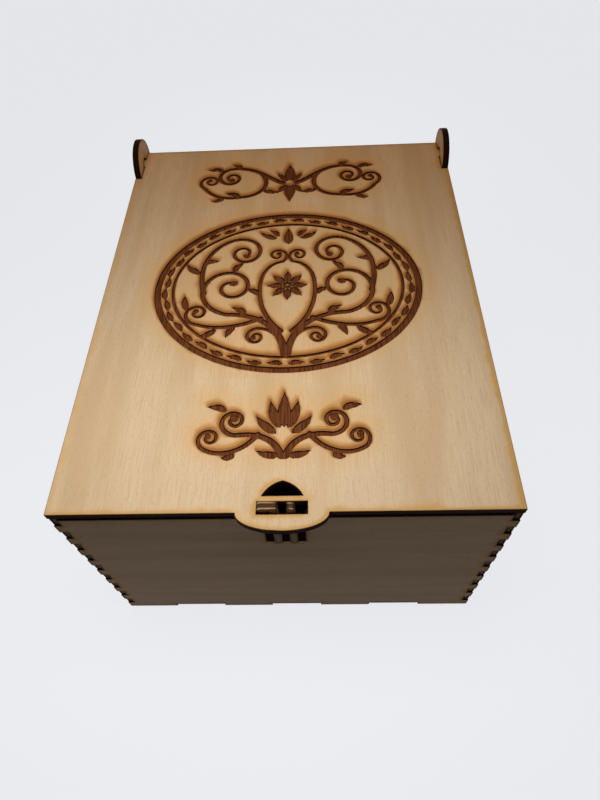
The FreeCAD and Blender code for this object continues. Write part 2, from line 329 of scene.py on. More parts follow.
def volute(x, y, radius, start, turns, width):
    """A scroll: a spiral about (x, y) that shrinks by the same share each turn, with a bulb at the end."""
    t = stroke_samples(4.0 * radius * abs(turns))
    angle = np.radians(start) + 2.0 * np.pi * turns * t
    reach = radius * np.exp(-VOLUTE_DECAY * abs(turns) * t)
    half = 0.5 * width * (1.0 - VOLUTE_TAPER * t)
    curl = np.column_stack([x + reach * np.cos(angle), y + reach * np.sin(angle), half])
    bulb = curl[-1:] * (1.0, 1.0, 0.0) + (0.0, 0.0, BULB_SHARE * width)
    return np.vstack([curl, bulb])


def stem(a, b, c, d, width_a, width_d):
    """A stalk: the cubic curve from a to d that heads for b and comes from c, changing its width evenly."""
    a, b, c, d = (np.array(p, float) for p in (a, b, c, d))
    t = stroke_samples(np.linalg.norm(b - a) + np.linalg.norm(c - b) + np.linalg.norm(d - c))[:, None]
    path = (1 - t) ** 3 * a + 3 * (1 - t) ** 2 * t * b + 3 * (1 - t) * t ** 2 * c + t ** 3 * d
    return np.hstack([path, 0.5 * (width_a + (width_d - width_a) * t)])


def leaf(x, y, heading, reach, width, bend=0.0):
    """A leaf: a line from (x, y) that turns by bend degrees over its reach, widest past a third, pointed."""
    t = stroke_samples(reach)
    angle = np.radians(heading + bend * t)
    step = reach / (len(t) - 1)
    half = LEAF_TIP + 0.5 * width * np.sin(np.pi * t ** LEAF_LEAN) ** LEAF_SWELL
    return np.column_stack([x + step * np.cumsum(np.cos(angle)), y + step * np.cumsum(np.sin(angle)), half])


def oval(across, along, width):
    """A closed line of even width round an ellipse with these half axes."""
    t = 2.0 * np.pi * stroke_samples(2.0 * np.pi * max(across, along))
    return np.column_stack([across * np.cos(t), along * np.sin(t), np.full_like(t, 0.5 * width)])


def mirrored(strokes):
    """The strokes and their reflections in the lid's middle line."""
    return strokes + [stroke * (-1.0, 1.0, 1.0) for stroke in strokes]


def petals(headings, hub, reach, width):
    """Straight leaves that start hub away from the middle, one along each heading."""
    return [leaf(hub * math.cos(math.radians(h)), hub * math.sin(math.radians(h)), h, reach, width)
            for h in headings]


def leaf_band(across, along, count, reach, width, bend):
    """Leaves end to end round an ellipse, bending in and out by turns and all climbing towards the hinge."""
    leaves = []
    for k in range(count):
        turn = 2.0 * math.pi * (k + 0.5) / count
        heading = math.degrees(math.atan2(along * math.cos(turn), -across * math.sin(turn)))
        heading += 0.0 if math.cos(turn) > 0.0 else 180.0
        tilt = bend if k % 2 else -bend
        back = 0.5 * reach
        x = across * math.cos(turn) - back * math.cos(math.radians(heading))
        y = along * math.sin(turn) - back * math.sin(math.radians(heading))
        leaves.append(leaf(x, y, heading - 0.5 * tilt, reach, width, tilt))
    return leaves


def medallion():
    """An oval frame of two rings and a band of leaves, round a rosette between mirrored vines."""
    vine = [
        stem((0.6, -39), (2, -25), (12, -17), (25, -17), 2.6, 1.7),
        volute(25, -1, 16, -90, 1.55, 1.7),
        stem((36.9, -4), (41, 10), (38.5, 24), (27, 30), 1.9, 1.5),
        volute(20.5, 21.5, 10.7, 52.6, 1.5, 1.5),
        stem((11, -19.5), (20, -24.5), (31, -25.5), (38.5, -22.2), 1.8, 1.3),
        volute(38.5, -15.8, 6.4, -90, 1.4, 1.3),
        stem((1, -35), (3, -29), (7, -25.5), (12.2, -25.2), 1.6, 1.2),
        volute(12.6, -30, 4.8, 95, -1.3, 1.2),
        stem((2.2, -27), (10, -20), (13.5, -8), (11.8, 3.5), 1.7, 1.3),
        stem((11.8, 3.5), (10.6, 11), (6.5, 14.5), (2.4, 15.2), 1.3, 1.1),
        volute(5, 19.6, 5.1, 240, -1.3, 1.1),
        leaf(39.6, 9, 20, 9, 2.6, 45),
        leaf(39.3, 14.5, 135, 8, 2.4, 60),
        leaf(30, -24.9, -60, 8.5, 2.5, 65),
        leaf(22, -23.9, -45, 6.5, 2.2, -30),
        leaf(18, -17.8, 75, 8, 2.5, -70),
        leaf(12.6, -5.5, 60, 7, 2.2, -60),
        leaf(24.5, 9, 100, 7.5, 2.3, 50),
        leaf(43.2, -14, 65, 9, 2.3, 25),
        leaf(5.5, 31.5, 10, 9, 2.4, 40),
        leaf(4.5, 33, 65, 6, 2, -40),
    ]
    frame_lines = [oval(57.7, 47.6, 2.3), oval(50.8, 41.0, 1.0)] + leaf_band(54.2, 44.2, 40, 6.4, 1.9, 28)
    rosette = petals(range(0, 360, 45), 2.2, 6.4, 2.6) + [oval(1.3, 1.3, 1.0), leaf(0, 27.5, 90, 10.5, 3.4)]
    return frame_lines + mirrored(vine) + rosette


def upper_flourish():
    """Two mirrored double scrolls that spring from a six-leaved star."""
    scroll = [
        stem((3.6, 0), (11, 2.5), (17, 15.5), (31.5, 12.8), 2.4, 1.6),
        volute(30.2, 5, 7.9, 80, -1.45, 1.6),
        stem((14.6, 7.6), (9.5, 0), (13, -10), (24, -11), 1.8, 1.5),
        stem((24, -11), (34, -13), (40, -9.5), (43.6, -3.2), 1.5, 1.4),
        volute(41, 2.4, 6.2, -65, 1.35, 1.3),
        leaf(25, -11.4, 55, 9, 2.4, -60),
        leaf(33.5, -11.2, -50, 6.5, 2.2, 60),
        leaf(25.5, 13.2, 60, 6, 2.2, -50),
        leaf(13.4, -5.6, 215, 8, 2.5, -50),
        leaf(35, 12, 25, 8.5, 2.4, -40),
    ]
    return mirrored(scroll) + petals((90, 270), 2, 13, 4.2) + petals((52, 128, 232, 308), 2, 8, 2.6)


def lower_flourish():
    """A fan of five leaves between mirrored double scrolls."""
    scroll = [
        stem((0.8, -13.5), (3, -6), (10, -3.5), (17.5, -4.6), 2.2, 1.6),
        volute(18.6, 1.6, 6.3, -100, 1.5, 1.5),
        stem((9.5, -4.2), (15, -12.6), (25, -14), (30.3, -9.7), 1.6, 1.3),
        volute(27.4, -5.8, 4.8, -54, 1.3, 1.2),
        leaf(1.4, -1.5, 62, 12.5, 3.2, 20),
        leaf(2.8, -3.8, 30, 10.5, 2.8, 30),
        leaf(18, -12.4, -50, 4.6, 2, 60),
        leaf(22, 6.4, 35, 7.5, 2.3, -40),
        leaf(1.6, -13, -10, 8.5, 2.3, 45),
    ]
    return mirrored(scroll) + [leaf(0, -1, 90, 15.5, 3.8)]


def lid_strokes(engraving, front_edge):
    """All strokes of the lid in metres, in the frame of the box."""
    groups = (
        (medallion(), engraving.medallion_y),
        (upper_flourish(), engraving.upper_y),
        (lower_flourish(), engraving.lower_y),
    )
    unit = np.array([MM, MM, MM * engraving.weight])
    return [stroke * unit + (0.0, front_edge + middle, 0.0)
            for strokes, middle in groups for stroke in strokes]


def stroke_distance(points, strokes, limit):
    """Signed distance from points to the nearest stroke's border, negative inside, and FAR past the limit."""
    nearest = np.full(len(points), FAR)
    for stroke in strokes:
        reach = limit + stroke[:, 2].max()
        low = stroke[:, :2].min(axis=0) - reach
        high = stroke[:, :2].max(axis=0) + reach
        close = np.flatnonzero(np.all((points > low) & (points < high), axis=1))
        for block in np.array_split(close, 1 + len(close) * len(stroke) // MOST_PAIRS):
            gap = np.linalg.norm(points[block, None] - stroke[None, :, :2], axis=2) - stroke[:, 2]
            nearest[block] = np.minimum(nearest[block], gap.min(axis=1))
    return np.where(nearest < limit, nearest, FAR)


def stroke_rows(strokes, wall):
    """Points along each stroke: its middle line, and on both sides rows at the foot and the top of its wall.

    The rows stand half a wall inside and outside the border, square to the stroke, and go round its ends on
    half circles. A row's point is dropped where another stroke runs over it.
    """
    middles = []
    borders = []
    for stroke in strokes:
        path, half = stroke[::ROW_STRIDE, :2], stroke[::ROW_STRIDE, 2]
        run = np.gradient(path, axis=0)
        run /= np.linalg.norm(run, axis=1)[:, None]
        side = np.column_stack([-run[:, 1], run[:, 0]])
        tips = ((path[0], -run[0], side[0], half[0]), (path[-1], run[-1], side[-1], half[-1]))
        middles.append(path)
        for step in (-0.5 * wall, 0.5 * wall):
            reach = (half + step)[:, None]
            borders += [(path + reach * side)[half > wall], (path - reach * side)[half > wall]]
            turn = np.radians(TIP_TURNS)[:, None]
            for tip, ahead, across, radius in tips:
                if radius > wall:
                    borders.append(tip + (radius + step) * (np.cos(turn) * ahead + np.sin(turn) * across))
    borders = np.vstack(borders)
    gap = np.abs(stroke_distance(borders, strokes, 2.0 * wall))
    kept = borders[np.abs(gap - 0.5 * wall) < WALL_SLACK * wall]
    return apart(np.vstack([kept] + middles), WALL_MERGE * wall)


def apart(points, least):
    """The points without those that share a cell of an even grid with an earlier one."""
    _, kept = np.unique(np.round(points / least).astype(np.int64), axis=0, return_index=True)
    return points[np.sort(kept)]


# Sheets: each is its CAD outline, filled on both faces and closed by a stepped edge.

def cad_outline(node, across):
    """The outline of a sheet's face, as points in the sheet's plane and, for each, the number of the next.

    The CAD triangles that lie in the face are turned anticlockwise. Inner edges then occur once in each
    direction, and the edges left without a partner run round the face with the wood on their left.
    """
    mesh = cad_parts[node].data
    mesh.calc_loop_triangles()
    corners = np.empty(3 * len(mesh.vertices), np.float32)
    mesh.vertices.foreach_get("co", corners)
    triangles = np.empty(3 * len(mesh.loop_triangles), np.int32)
    mesh.loop_triangles.foreach_get("vertices", triangles)
    weld = 1e-6
    keys = np.round(corners.reshape(-1, 3).astype(float) / weld).astype(np.int64)
    places, merged = np.unique(keys, axis=0, return_inverse=True)
    triangles = merged.reshape(-1)[triangles].reshape(-1, 3)
    top = places[:, across].max()
    face = triangles[np.all(places[triangles, across] == top, axis=1)]
    flat = places[:, PLANE_AXES[across]] * weld
    one, two = flat[face[:, 1]] - flat[face[:, 0]], flat[face[:, 2]] - flat[face[:, 0]]
    clockwise = one[:, 0] * two[:, 1] < one[:, 1] * two[:, 0]
    face[clockwise] = face[clockwise, ::-1]
    start, end = face.ravel(), np.roll(face, -1, axis=1).ravel()
    lone = ~np.isin(start * len(flat) + end, end * len(flat) + start)
    start, end = start[lone], end[lone]
    number = np.full(len(flat), -1)
    number[start] = np.arange(len(start))
    return flat[start], number[end]


def divided(points, after, step):
    """The same outline with every edge cut into equal pieces no longer than step."""
    run = points[after] - points
    count = np.maximum(1, np.ceil(np.linalg.norm(run, axis=1) / step)).astype(int)
    first = np.cumsum(count) - count
    owner = np.repeat(np.arange(len(points)), count)
    piece = np.arange(count.sum()) - first[owner]
    finer = points[owner] + run[owner] * (piece / count[owner])[:, None]
    last = piece == count[owner] - 1
    return finer, np.where(last, first[after[owner]], np.arange(len(finer)) + 1)


def inward(points, after):
    """At each outline point, the step towards the wood that moves both its edges by one unit."""
    run = points[after] - points
    run /= np.linalg.norm(run, axis=1)[:, None]
    leaving = np.column_stack([-run[:, 1], run[:, 0]])
    arriving = np.empty_like(leaving)
    arriving[after] = leaving
    return (leaving + arriving) / (1.0 + np.sum(leaving * arriving, axis=1))[:, None]


def edge_distance(points, outline, after):
    """Distance from points to the outline, the least of those to the nearest point on each of its edges."""
    run = outline[after] - outline
    square = np.sum(run * run, axis=1)
    nearest = np.empty(len(points))
    for block in np.array_split(np.arange(len(points)), 1 + len(points) * len(outline) // MOST_PAIRS):
        away = points[block, None] - outline[None]
        along = np.clip(np.sum(away * run, axis=2) / square, 0.0, 1.0)
        nearest[block] = np.linalg.norm(away - along[..., None] * run, axis=2).min(axis=1)
    return nearest


def on_wood(points, outline, after):
    """True where a ray from the point along the second axis crosses the outline an odd number of times."""
    a, b = outline, outline[after]
    inside = np.empty(len(points), bool)
    for block in np.array_split(np.arange(len(points)), 1 + len(points) * len(outline) // MOST_PAIRS):
        u, v = points[block, None, 0], points[block, None, 1]
        spans = (a[:, 0] > u) != (b[:, 0] > u)
        rise = np.where(a[:, 0] == b[:, 0], 1.0, b[:, 0] - a[:, 0])
        above = a[:, 1] + (u - a[:, 0]) / rise * (b[:, 1] - a[:, 1]) > v
        inside[block] = np.sum(spans & above, axis=1) % 2 == 1
    return inside


def grid_points(low, high, step):
    """Points of an even grid over a rectangle, every other row moved by half a step."""
    rows = np.arange(low[1] + 0.5 * step, high[1], step)
    columns = np.arange(low[0] + 0.5 * step, high[0], step)
    u, v = np.meshgrid(columns, rows)
    u = u + np.where(np.arange(len(rows)) % 2, 0.25 * step, -0.25 * step)[:, None]
    return np.column_stack([u.ravel(), v.ravel()])


def filled(rim, after, inner):
    """Delaunay triangles of the rim and the inner points, kept where their middle lies on the wood."""
    points = np.vstack([rim, inner])
    edges = np.column_stack([np.arange(len(rim)), after]).tolist()
    keep_all, tolerance = 0, 1e-6
    made = delaunay_2d_cdt([Vector(p) for p in (points / MM).tolist()], edges, [], keep_all, tolerance)
    if len(made[0]) != len(points):
        raise RuntimeError("an outline crosses or touches itself, so its face can't be filled")
    triangles = np.array(made[2])
    a, b, c = (points[triangles[:, k]] for k in range(3))
    turn = (b[:, 0] - a[:, 0]) * (c[:, 1] - a[:, 1]) - (b[:, 1] - a[:, 1]) * (c[:, 0] - a[:, 0])
    triangles[turn < 0.0] = triangles[turn < 0.0, ::-1]
    return points, triangles[on_wood((a + b + c) / 3.0, rim, after)]


def rim_rows(rim, after):
    """Rows of points at set distances inside the outline, without those nearer to its other stretches."""
    points = np.vstack([rim + inset * inward(rim, after) for inset in RIM_ROWS])
    least = ROW_SLACK * np.repeat(RIM_ROWS, len(rim))
    points = points[on_wood(points, rim, after) & (edge_distance(points, rim, after) > least)]
    return apart(points, ROW_MERGE)


def plain_points(outline, after, step):
    """Evenly spread points on the wood of a face, clear of the rows beside its outline."""
    points = grid_points(outline.min(axis=0), outline.max(axis=0), step)
    points = points[on_wood(points, outline, after)]
    return points[edge_distance(points, outline, after) > RIM_ROWS[-1] + GRID_GAP * step]


def engraved_points(outline, after, strokes, settings):
    """Points on the lid's top: rows along the engraved lines, and grids that widen away from them."""
    engraving = settings.engraving
    low, high = outline.min(axis=0), outline.max(axis=0)
    bands = (
        (engraving.near_step, engraving.wall, engraving.near_band),
        (engraving.halo_step, engraving.near_band, engraving.halo_band),
        (settings.sheet.face_step, engraving.halo_band, 2.0 * FAR),
    )
    kept = [stroke_rows(strokes, engraving.wall)]
    for step, nearest, farthest in bands:
        points = grid_points(low, high, step)
        gap = stroke_distance(points, strokes, engraving.halo_band)
        points = points[(gap >= nearest) & (gap < farthest)]
        points = points[on_wood(points, outline, after)]
        kept.append(points[edge_distance(points, outline, after) > RIM_ROWS[-1] + GRID_GAP * step])
    return np.vstack(kept)


def corner_distance(rim, after):
    """Distance from each outline point to the nearest sharp corner of the outline."""
    run = rim[after] - rim
    heading = np.arctan2(run[:, 1], run[:, 0])
    turn = np.angle(np.exp(1j * (heading[after] - heading)))
    corners = rim[after][np.abs(turn) > CORNER_TURN]
    if not len(corners):
        return np.full(len(rim), FAR)
    return np.linalg.norm(rim[:, None] - corners[None], axis=2).min(axis=1)


def finger_ends(rim, after, across, box):
    """True for the pieces of an outline that lie just inside an upright outer face of the walls' box."""
    ends = np.zeros(len(rim), bool)
    for column, axis in enumerate(PLANE_AXES[across]):
        for corner in box:
            near = (np.abs(rim[:, column] - corner[axis]) < FINGER_END) & (axis != Z)
            ends |= near & near[after]
    return ends


def walls_box():
    """Lowest and highest corner of the walls and the bottom together."""
    boxes = np.array([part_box(sheet[0]) for sheet in WALL_SHEETS])
    return boxes[:, 0].min(axis=0), boxes[:, 1].max(axis=0)


def engraving_trails(points, strokes):
    """For each trail, the signed distance from points to the engraving after its share of the drift."""
    engraving = bpy.context.scene.keepsake_box.engraving
    drift = np.array([-engraving.drift_left, engraving.drift_back])
    return {name: stroke_distance(points - part * drift, [stroke[::stride] for stroke in strokes],
                                  reach * engraving.haze_reach) for name, part, reach, stride in TRAILS}


def engraved_depth(burn):
    """How deep points lie, from their distance to the engraving: a smooth step over the run of its wall."""
    engraving = bpy.context.scene.keepsake_box.engraving
    sunk = np.clip(0.5 - burn / engraving.wall, 0.0, 1.0)
    return engraving.depth * sunk * sunk * (3.0 - 2.0 * sunk)


def edge_faces(row_starts, after):
    """Quads between rows of points round a sheet, each row given by the number of its first point."""
    around = np.arange(len(after))
    return np.vstack([np.column_stack([above + around, below + around, below + after, above + after])
                      for below, above in zip(row_starts, row_starts[1:])])


def scorch_distance(points, rim, after, squeeze, drift):
    """Distance to the outline from where the smoke came, in a plane that is squeezed along the grain."""
    source = points + drift
    return edge_distance(source * squeeze, rim * squeeze, after) * on_wood(source, rim, after)


def write_layers(mesh, grain, layers):
    """Stores the grain and the named numbers on the mesh's points, where the materials read them."""
    grain_layer = mesh.attributes.new("grain", "FLOAT_VECTOR", "POINT")
    grain_layer.data.foreach_set("vector", grain.astype(np.float32).ravel())
    for name, values in layers.items():
        mesh.attributes.new(name, "FLOAT", "POINT").data.foreach_set("value", values.astype(np.float32))


def sheet_mesh(node, across, grain_axis, seed, strokes=()):
    """One plywood sheet as a closed mesh with what its materials read.

    The outline is filled at both faces, and the edge is a profile across the thickness carried round the
    outline, stepped in at the glue lines. Engraved lines sink into the upper face with a steep wall. Point
    attributes: grain is (across, along, sheet), cut the distance to the outline or, on the edge, to its
    nearest corner, scorch the same against the drift of the smoke and shortened along the grain, the trails
    the signed distance to the engraving against their share of its smoke's drift, and ply the share of the
    thickness. Faces take the first finish, the edge the second, and the ends of the fingers the third.
    """
    settings = bpy.context.scene.keepsake_box
    sheet = settings.sheet
    low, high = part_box(node)
    outline, outline_after = cad_outline(node, across)
    rim, after = divided(outline, outline_after, sheet.rim_step)
    step_in = inward(rim, after)
    rim = rim + sheet.kerf * step_in
    plain = plain_points(outline, outline_after, sheet.face_step)
    fancy = engraved_points(outline, outline_after, strokes, settings) if strokes else plain
    rows = rim_rows(rim, after)
    under_points, under_triangles = filled(rim, after, np.vstack([rows, plain]))
    upper_points, upper_triangles = filled(rim, after, np.vstack([rows, fancy]))
    trails = engraving_trails(upper_points, strokes)

    count = len(rim)
    thickness = high[across] - low[across]
    sunk = engraved_depth(trails["burn"])
    ledges = [rim + recess * sheet.glue_recess * step_in for _, recess in EDGE_PROFILE]
    flat = np.vstack([under_points, upper_points] + ledges)
    ply = np.concatenate([np.zeros(len(under_points)), 1.0 - sunk / thickness]
                         + [np.full(count, depth) for depth, _ in EDGE_PROFILE])
    place = np.empty((len(flat), 3))
    place[:, PLANE_AXES[across]] = flat
    place[:, across] = low[across] + thickness * ply

    upper_start = len(under_points)
    ledge_start = upper_start + len(upper_points)
    row_starts = [0] + [ledge_start + count * k for k in range(len(EDGE_PROFILE))] + [upper_start]
    walls = edge_faces(row_starts, after)

    mesh = bpy.data.meshes.new(node + "_sheet")
    faces = under_triangles[:, ::-1].tolist() + (upper_triangles + upper_start).tolist() + walls.tolist()
    mesh.from_pydata(place.tolist(), [], faces)
    ends = finger_ends(rim, after, across, walls_box())
    edge_finish = np.tile(np.where(ends, END, EDGE), len(row_starts) - 1)
    finish = np.concatenate([np.full(len(faces) - len(walls), FACE), edge_finish])
    mesh.polygons.foreach_set("material_index", finish.astype(np.int32))
    mesh.polygons.foreach_set("use_smooth", np.ones(len(faces), bool))
    mesh.set_sharp_from_angle(angle=sheet.sharp_angle)

    other_axis = 3 - across - grain_axis
    grain = np.column_stack([place[:, other_axis], place[:, grain_axis], seed + place[:, across]])
    squeeze = np.where(np.array(PLANE_AXES[across]) == grain_axis, 1.0 / sheet.grain_reach, 1.0)
    drift = (sheet.drift_left, 0.0) if strokes else (0.0, 0.0)
    scorch = scorch_distance(flat[:ledge_start], rim, after, squeeze, drift)
    cut = edge_distance(flat[:ledge_start], rim, after)
    corner = np.tile(corner_distance(rim, after), len(EDGE_PROFILE))
    below, edge = np.full(upper_start, FAR), np.full(len(flat) - ledge_start, FAR)
    layers = {name: np.concatenate([below, trail, edge]) for name, trail in trails.items()}
    layers["cut"] = np.concatenate([cut, corner])
    layers["scorch"] = np.concatenate([scorch, corner])
    layers["ply"] = ply
    write_layers(mesh, grain, layers)
    mesh.validate()
    return mesh


def add_sheet(sheet, number, materials, strokes=()):
    """Builds a sheet, puts it in the place of its CAD node and lets it ride on the node's body."""
    node, body, across, grain_axis = sheet
    piece = bpy.data.objects.new(node + "_ply", sheet_mesh(node, across, grain_axis, number, strokes))
    bpy.context.scene.collection.objects.link(piece)
    for material in materials:
        piece.data.materials.append(material)
    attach(piece, body)
    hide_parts(node)


# Materials

def add_node(tree, kind, inputs=None, **settings):
    """Adds a node with its settings. An input, by name or number, takes a socket to link or a plain value."""
    node = tree.nodes.new(kind)
    for name, value in settings.items():
        setattr(node, name, value)
    for key, value in (inputs or {}).items():
        if isinstance(value, bpy.types.NodeSocket):
            tree.links.new(value, node.inputs[key])
        else:
            node.inputs[key].default_value = value
    return node


def opaque(value):
    """A colour property with the fourth channel that sockets ask for."""
    return (*value, 1.0)


def new_material(name):
    """An empty node material with its output and a Principled surface."""
    material = bpy.data.materials.new(name)
    material.use_nodes = True
    tree = material.node_tree
    tree.nodes.clear()
    surface = add_node(tree, "ShaderNodeBsdfPrincipled")
    add_node(tree, "ShaderNodeOutputMaterial", {"Surface": surface.outputs["BSDF"]})
    return material, tree, surface


def painted(tree, tone, coats):
    """A colour under coats, each laid over the last one.

    A coat is what steers it, where it starts, where it is full, how much covers there, and its colour.
    """
    for steer, start, full, most, coat in coats:
        amount = add_node(tree, "ShaderNodeMapRange", {
            "Value": steer, "From Min": start, "From Max": full, "To Max": most,
        }, interpolation_type="SMOOTHSTEP")
        tone = add_node(tree, "ShaderNodeMix", {
            "Factor": amount.outputs["Result"], MIX_UNDER: tone, MIX_OVER: coat,
        }, data_type="RGBA").outputs[MIX_RESULT]
    return tone


def wood_patterns(tree, finish):
    """Noise drawn out along the grain, by name: fibres, broad figure, flecks and the scorch's blotches."""
    grain = add_node(tree, "ShaderNodeAttribute", attribute_name="grain").outputs["Vector"]
    sizes = (
        ("fibre", finish.fibre_width, finish.fibre_length, 3.0),
        ("figure", finish.figure_width, finish.figure_length, 2.0),
        ("fleck", finish.fleck_width, finish.fleck_length, 1.0),
        ("blotch", finish.blotch, finish.blotch, 2.0),
    )
    patterns = {}
    for pattern, width, run, detail in sizes:
        scaled = add_node(tree, "ShaderNodeVectorMath", {0: grain, 1: (1 / width, 1 / run, 1 / width)},
                          operation="MULTIPLY")
        patterns[pattern] = add_node(tree, "ShaderNodeTexNoise", {
            "Vector": scaled.outputs["Vector"], "Scale": 1.0, "Detail": detail, "Distortion": 0.3,
        }).outputs["Fac"]
    return patterns


def birch_veneer(name, scorch_width, char_and_shade_width):
    """Sanded birch plywood face, cut and engraved by a laser.

    Bare birch is pale, dull and low in contrast: fine fibre streaks, broad faint bands and short flecks, all
    along the grain. The laser toasts it golden beside each cut, with a soot line and a faint haze, and
    burns engraved lines to a chocolate floor between near-black walls. On the walls and the latch the soot
    line is wide and is also painted shade, under the lid, beside the fingers and in the lid's slot. The
    engraving's smoke browns the wood on the side that the air jet blows to, and thins out from brown by way
    of gold to a yellow haze.
    """
    if name in bpy.data.materials:
        return bpy.data.materials[name]
    finish = bpy.context.scene.keepsake_box.finish
    material, tree, surface = new_material(name)
    patterns = wood_patterns(tree, finish)
    cut, burn, scorch, scald, smoke, haze = (
        add_node(tree, "ShaderNodeAttribute", attribute_name=layer).outputs["Fac"]
        for layer in ("cut", "burn", "scorch", "scald", "smoke", "haze")
    )

    # The blotches stretch and shrink the distances that the scorch and the smoke reach.
    stretch = add_node(tree, "ShaderNodeMapRange", {
        "Value": patterns["blotch"], "From Min": 0.3, "From Max": 0.7, "To Min": 1.8, "To Max": 0.65,
    }).outputs["Result"]
    tinge, scorch, scald, smoke = (
        add_node(tree, "ShaderNodeMath", {0: reach, 1: stretch}, operation="MULTIPLY").outputs["Value"]
        for reach in (cut, scorch, scald, smoke)
    )
    soft_fibres = (patterns["fibre"], 0.35, 0.68, 1.0, opaque(finish.engraved_dark))
    engraved_floor = painted(tree, opaque(finish.engraved_light), [soft_fibres])

    coats = (
        (patterns["figure"], 0.34, 0.68, 0.8, opaque(finish.face_dark)),
        (patterns["fibre"], 0.42, 0.75, 0.65, opaque(finish.face_dark)),
        (patterns["fleck"], 0.58, 0.74, 0.4, opaque(finish.fleck)),
        (haze, finish.haze_width, 0.0, 0.45, opaque(finish.hazed)),
        (tinge, finish.cut_haze, 0.0, 0.55, opaque(finish.hazed)),
        (scorch, scorch_width, 0.0, 0.75, opaque(finish.amber)),
        (smoke, finish.halo_width, 0.0, 0.8, opaque(finish.smoked)),
        (scald, finish.scald_width, 0.0, 0.6, opaque(finish.scalded)),
        # The soot line along a cut; where it is wide, on the walls and the latch, it is also painted shade
        # under the lid, beside the fingers and in the lid's slot.
        (cut, char_and_shade_width, 0.0, 0.95, opaque(finish.char)),
        (burn, *WALL_BAND, 1.0, opaque(finish.engraved_wall)),
        (burn, *FLOOR_BAND, 1.0, engraved_floor),
    )
    wood = painted(tree, opaque(finish.face_light), coats)

    relief = add_node(tree, "ShaderNodeMath", {0: patterns["fibre"], 1: patterns["fleck"]},
                      operation="SUBTRACT")
    fibre_relief = 0.05 * MM
    bump = add_node(tree, "ShaderNodeBump", {
        "Height": relief.outputs["Value"], "Strength": 0.2, "Distance": fibre_relief,
    })
    engraved_roughness = 0.9
    rough = add_node(tree, "ShaderNodeMapRange", {
        "Value": burn, "From Min": 0.0, "From Max": FLOOR_BAND[0],
        "To Min": finish.face_roughness, "To Max": engraved_roughness,
    })
    tree.links.new(wood, surface.inputs["Base Color"])
    tree.links.new(rough.outputs["Result"], surface.inputs["Roughness"])
    tree.links.new(bump.outputs["Normal"], surface.inputs["Normal"])
    surface.inputs["Specular IOR Level"].default_value = finish.shine
    return material


def lid_face():
    """The lid's faces, which met the laser first and have a clean golden border."""
    finish = bpy.context.scene.keepsake_box.finish
    return birch_veneer("birch_plywood_lid", finish.lid_scorch, finish.lid_char)


def wall_face():
    """The faces of the walls, which lay undermost and have a wider dark border: soot, and painted shade under
    the lid and beside the fingers.
    """
    finish = bpy.context.scene.keepsake_box.finish
    return birch_veneer("birch_plywood_wall", finish.wall_scorch, finish.wall_char_and_shade)


def latch_face():
    """The faces of the latch, so narrow that the dark border of both sides nearly meets: soot, and painted
    shade from the lid's slot.
    """
    finish = bpy.context.scene.keepsake_box.finish
    return birch_veneer("birch_plywood_latch", finish.wall_scorch, finish.latch_char_and_shade)


def cut_edge(name, veneer, core):
    """Laser-cut plywood edge: two veneers and a core of crossed grain, with black glue lines between them.

    The laser leaves the edge dry and dull, with soot and painted shade in its corners, and fine burn marks
    that are drawn about three times their real spacing so that they show.
    """
    if name in bpy.data.materials:
        return bpy.data.materials[name]
    finish = bpy.context.scene.keepsake_box.finish
    material, tree, surface = new_material(name)
    ply = add_node(tree, "ShaderNodeAttribute", attribute_name="ply").outputs["Fac"]
    corner = add_node(tree, "ShaderNodeAttribute", attribute_name="cut").outputs["Fac"]
    place = add_node(tree, "ShaderNodeTexCoord").outputs["Object"]
    layers = add_node(tree, "ShaderNodeValToRGB", {"Fac": ply})
    stops = layers.color_ramp
    bands = ((0.0, veneer), (0.22, veneer), (0.25, finish.soot), (0.29, core), (0.71, core),
             (0.75, finish.soot), (0.78, veneer), (1.0, veneer))
    stops.elements[0].position, stops.elements[-1].position = bands[0][0], bands[-1][0]
    stops.elements[0].color, stops.elements[-1].color = opaque(bands[0][1]), opaque(bands[-1][1])
    for position, tone in bands[1:-1]:
        stops.elements.new(position).color = opaque(tone)
    mark_spacing, mark_relief = 0.6 * MM, 0.1 * MM
    marks = add_node(tree, "ShaderNodeTexNoise", {"Vector": place, "Scale": 1 / mark_spacing, "Detail": 3.0})
    soot = opaque(finish.soot)
    coats = (
        (marks.outputs["Fac"], 0.4, 0.75, 0.45, soot),
        # Soot in the corners of the edge, which also paints the shade where one finger meets the next.
        (corner, *CORNER_SOOT_AND_SHADE_BAND, 0.9, soot),
    )
    tone = painted(tree, layers.outputs["Color"], coats)
    bump = add_node(tree, "ShaderNodeBump", {
        "Height": marks.outputs["Fac"], "Strength": 0.3, "Distance": mark_relief,
    })
    tree.links.new(tone, surface.inputs["Base Color"])
    tree.links.new(bump.outputs["Normal"], surface.inputs["Normal"])
    surface.inputs["Roughness"].default_value = finish.edge_roughness
    surface.inputs["Specular IOR Level"].default_value = finish.edge_shine
    return material


def charred_edge():
    """Edges as the laser left them: sooty from face to face."""
    finish = bpy.context.scene.keepsake_box.finish
    return cut_edge("charred_plywood_edge", finish.edge_veneer, finish.edge_core)


def wiped_end():
    """Finger ends, wiped after the box was glued, which leaves the core clean inside a sooty border, with
    painted shade in its corners.
    """
    finish = bpy.context.scene.keepsake_box.finish
    return cut_edge("wiped_plywood_end", finish.end_veneer, finish.end_core)


def rubbed_edge():
    """The edges of the latch, where fingers have rubbed the soot off the outer plies."""
    finish = bpy.context.scene.keepsake_box.finish
    return cut_edge("rubbed_plywood_edge", finish.tip_veneer, finish.tip_core)


# Stage

def seen_directly(tree):
    """1 for rays that show the stage to the eye: from the camera, or by way of a mirror or glass."""
    path = add_node(tree, "ShaderNodeLightPath")
    either = add_node(tree, "ShaderNodeMath", {
        0: path.outputs["Is Camera Ray"], 1: path.outputs["Is Glossy Ray"],
    }, operation="MAXIMUM")
    return add_node(tree, "ShaderNodeMath", {
        0: either.outputs["Value"], 1: path.outputs["Is Transmission Ray"],
    }, operation="MAXIMUM").outputs["Value"]


